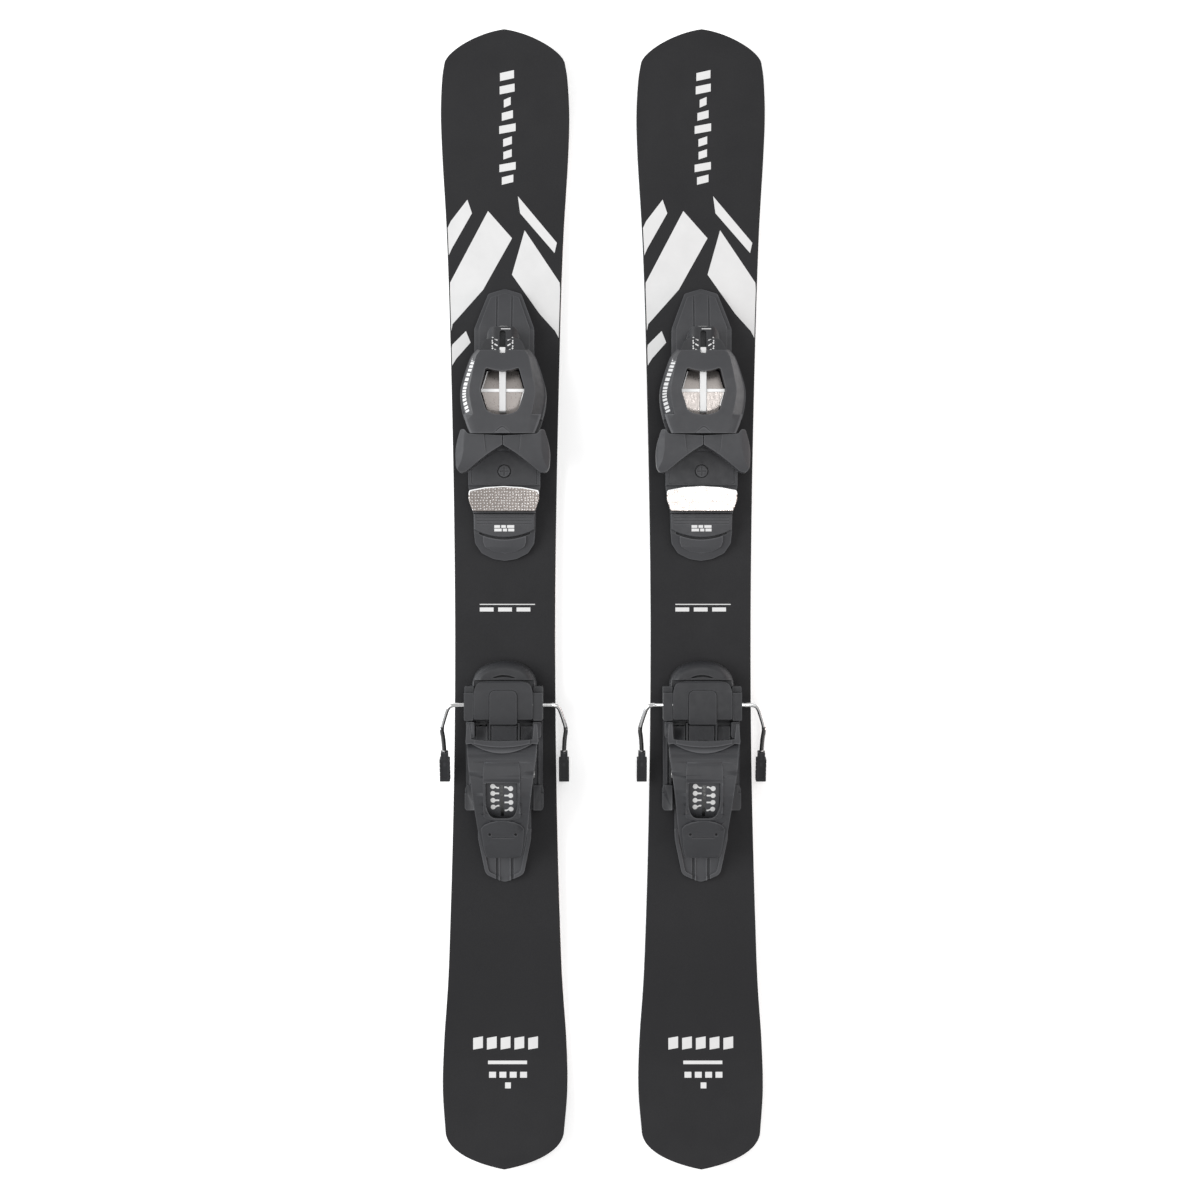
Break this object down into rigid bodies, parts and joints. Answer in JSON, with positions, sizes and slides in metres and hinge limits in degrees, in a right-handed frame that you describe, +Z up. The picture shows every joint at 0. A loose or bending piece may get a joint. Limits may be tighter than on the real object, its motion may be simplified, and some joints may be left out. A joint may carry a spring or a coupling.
{
  "type": "alpine skis with bindings",
  "caption": "Pair of short shaped alpine skis with flared tips, adjustable step-in bindings and wire ski brakes.",
  "frame": {"origin": "midway between the skis and midway along them, on the plane that their bases stand on", "axes": "+X across the pair to the right ski, +Y towards the tips, +Z up"},
  "size_m": [0.282, 0.984, 0.0795],
  "materials": {
    "topsheet": "matte charcoal sheet with printed white facets",
    "sidewall": "satin, with a faint red-brown sheen",
    "ski_base": "waxed sintered plastic",
    "edge_steel": "ground steel",
    "binding_plastic": "fine-grained moulded plastic",
    "black_plastic": "fine-grained moulded plastic",
    "polished_steel": "polished",
    "spring_steel": "satin",
    "pad_metal": "dimpled and lightly worn",
    "white_marks": "matte white"
  },
  "bodies": {
    "left_ski": {"left_base": "ski_base", "left_edge_left": "edge_steel", "left_edge_right": "edge_steel", "left_core": "sidewall", "left_topsheet": "topsheet", "left_toe_plate": "binding_plastic", "left_toe_housing": "binding_plastic", "left_toe_spring_cup": "polished_steel", "left_toe_spring": "spring_steel", "left_wing_pin_left": "spring_steel", "left_wing_pin_right": "spring_steel", "left_heel_track": "binding_plastic"},
    "left_wing_left": {"left_wing_left": "binding_plastic"},
    "left_wing_right": {"left_wing_right": "binding_plastic"},
    "left_toe_indicator": {"left_toe_indicator": "white_marks"},
    "left_toe_din_screw": {"left_toe_din_screw": "spring_steel"},
    "left_afd_plate": {"left_afd_plate": "pad_metal"},
    "left_height_screw": {"left_height_screw": "spring_steel"},
    "left_heel_carrier": {"left_heel_carrier": "binding_plastic", "left_heel_pivot_pin": "spring_steel", "left_brake_base": "binding_plastic"},
    "left_heel_jaw": {"left_heel_jaw": "binding_plastic", "left_heel_spring": "spring_steel"},
    "left_heel_lever": {"left_heel_lever": "binding_plastic"},
    "left_heel_din_screw": {"left_heel_din_screw": "spring_steel"},
    "left_brake": {"left_brake_pedal": "black_plastic", "left_brake_arm_left": "polished_steel", "left_brake_arm_right": "polished_steel", "left_brake_tip_left": "black_plastic", "left_brake_tip_right": "black_plastic"},
    "right_ski": {"right_base": "ski_base", "right_edge_left": "edge_steel", "right_edge_right": "edge_steel", "right_core": "sidewall", "right_topsheet": "topsheet", "right_toe_plate": "binding_plastic", "right_toe_housing": "binding_plastic", "right_toe_spring_cup": "polished_steel", "right_toe_spring": "spring_steel", "right_wing_pin_left": "spring_steel", "right_wing_pin_right": "spring_steel", "right_heel_track": "binding_plastic"},
    "right_wing_left": {"right_wing_left": "binding_plastic"},
    "right_wing_right": {"right_wing_right": "binding_plastic"},
    "right_toe_indicator": {"right_toe_indicator": "white_marks"},
    "right_toe_din_screw": {"right_toe_din_screw": "spring_steel"},
    "right_afd_plate": {"right_afd_plate": "pad_metal"},
    "right_height_screw": {"right_height_screw": "spring_steel"},
    "right_heel_carrier": {"right_heel_carrier": "binding_plastic", "right_heel_pivot_pin": "spring_steel", "right_brake_base": "binding_plastic"},
    "right_heel_jaw": {"right_heel_jaw": "binding_plastic", "right_heel_spring": "spring_steel"},
    "right_heel_lever": {"right_heel_lever": "binding_plastic"},
    "right_heel_din_screw": {"right_heel_din_screw": "spring_steel"},
    "right_brake": {"right_brake_pedal": "black_plastic", "right_brake_arm_left": "polished_steel", "right_brake_arm_right": "polished_steel", "right_brake_tip_left": "black_plastic", "right_brake_tip_right": "black_plastic"}
  },
  "joints": [
    {"name": "left_wing_left_swing", "type": "hinge", "parent": "left_ski", "child": "left_wing_left", "pos_m": [-0.1031, 0.136, 0.053], "axis": [0, 0, -1], "range_deg": [0, 25]},
    {"name": "left_wing_right_swing", "type": "hinge", "parent": "left_ski", "child": "left_wing_right", "pos_m": [-0.0671, 0.136, 0.053], "axis": [0, 0, 1], "range_deg": [0, 25]},
    {"name": "left_toe_din_turn", "type": "hinge", "parent": "left_ski", "child": "left_toe_din_screw", "pos_m": [-0.0851, 0.215, 0.043], "axis": [0, 1, 0], "range_deg": [0, 1440]},
    {"name": "left_toe_indicator_slide", "type": "slide", "parent": "left_ski", "child": "left_toe_indicator", "axis": [0, 1, 0], "range_m": [0, 0.0101]},
    {"name": "left_afd_lift", "type": "slide", "parent": "left_ski", "child": "left_afd_plate", "axis": [0, 0, 1], "range_m": [0, 0.003]},
    {"name": "left_height_screw_turn", "type": "hinge", "parent": "left_ski", "child": "left_height_screw", "pos_m": [-0.0851, 0.111, 0.029], "axis": [0, 0, 1], "range_deg": [0, 541]},
    {"name": "left_heel_carrier_slide", "type": "slide", "parent": "left_ski", "child": "left_heel_carrier", "axis": [0, 1, 0], "range_m": [-0.012, 0.012]},
    {"name": "left_heel_jaw_swing", "type": "hinge", "parent": "left_heel_carrier", "child": "left_heel_jaw", "pos_m": [-0.0851, -0.15, 0.031], "axis": [1, 0, 0], "range_deg": [-20, 4]},
    {"name": "left_heel_lever_swing", "type": "hinge", "parent": "left_heel_jaw", "child": "left_heel_lever", "pos_m": [-0.0851, -0.15, 0.031], "axis": [1, 0, 0], "range_deg": [-10.1, 2.1]},
    {"name": "left_heel_din_turn", "type": "hinge", "parent": "left_heel_jaw", "child": "left_heel_din_screw", "pos_m": [-0.0851, -0.181, 0.051], "axis": [0, 1, 0], "range_deg": [0, 1440]},
    {"name": "left_brake_swing", "type": "hinge", "parent": "left_heel_carrier", "child": "left_brake", "pos_m": [-0.0851, -0.0897, 0.043], "axis": [1, 0, 0], "range_deg": [-20, 45]},
    {"name": "right_wing_left_swing", "type": "hinge", "parent": "right_ski", "child": "right_wing_left", "pos_m": [0.0671, 0.136, 0.053], "axis": [0, 0, -1], "range_deg": [0, 25]},
    {"name": "right_wing_right_swing", "type": "hinge", "parent": "right_ski", "child": "right_wing_right", "pos_m": [0.1031, 0.136, 0.053], "axis": [0, 0, 1], "range_deg": [0, 25]},
    {"name": "right_toe_din_turn", "type": "hinge", "parent": "right_ski", "child": "right_toe_din_screw", "pos_m": [0.0851, 0.215, 0.043], "axis": [0, 1, 0], "range_deg": [0, 1440]},
    {"name": "right_toe_indicator_slide", "type": "slide", "parent": "right_ski", "child": "right_toe_indicator", "axis": [0, 1, 0], "range_m": [0, 0.0101]},
    {"name": "right_afd_lift", "type": "slide", "parent": "right_ski", "child": "right_afd_plate", "axis": [0, 0, 1], "range_m": [0, 0.003]},
    {"name": "right_height_screw_turn", "type": "hinge", "parent": "right_ski", "child": "right_height_screw", "pos_m": [0.0851, 0.111, 0.029], "axis": [0, 0, 1], "range_deg": [0, 541]},
    {"name": "right_heel_carrier_slide", "type": "slide", "parent": "right_ski", "child": "right_heel_carrier", "axis": [0, 1, 0], "range_m": [-0.012, 0.012]},
    {"name": "right_heel_jaw_swing", "type": "hinge", "parent": "right_heel_carrier", "child": "right_heel_jaw", "pos_m": [0.0851, -0.15, 0.031], "axis": [1, 0, 0], "range_deg": [-20, 4]},
    {"name": "right_heel_lever_swing", "type": "hinge", "parent": "right_heel_jaw", "child": "right_heel_lever", "pos_m": [0.0851, -0.15, 0.031], "axis": [1, 0, 0], "range_deg": [-10.1, 2.1]},
    {"name": "right_heel_din_turn", "type": "hinge", "parent": "right_heel_jaw", "child": "right_heel_din_screw", "pos_m": [0.0851, -0.181, 0.051], "axis": [0, 1, 0], "range_deg": [0, 1440]},
    {"name": "right_brake_swing", "type": "hinge", "parent": "right_heel_carrier", "child": "right_brake", "pos_m": [0.0851, -0.0897, 0.043], "axis": [1, 0, 0], "range_deg": [-20, 45]},
    {"name": "right_ski_stride", "type": "slide", "parent": "left_ski", "child": "right_ski", "axis": [0, 1, 0], "range_m": [-0.1, 0.1]}
  ],
  "couplings": [
    {"joint": "left_toe_indicator_slide", "follows": "left_toe_din_turn", "m_per_rad": 0.00039789},
    {"joint": "left_height_screw_turn", "follows": "left_afd_lift", "rad_per_m": 3141.6},
    {"joint": "left_heel_lever_swing", "follows": "left_heel_jaw_swing", "ratio": 0.5},
    {"joint": "right_toe_indicator_slide", "follows": "right_toe_din_turn", "m_per_rad": 0.00039789},
    {"joint": "right_height_screw_turn", "follows": "right_afd_lift", "rad_per_m": 3141.6},
    {"joint": "right_heel_lever_swing", "follows": "right_heel_jaw_swing", "ratio": 0.5}
  ]
}
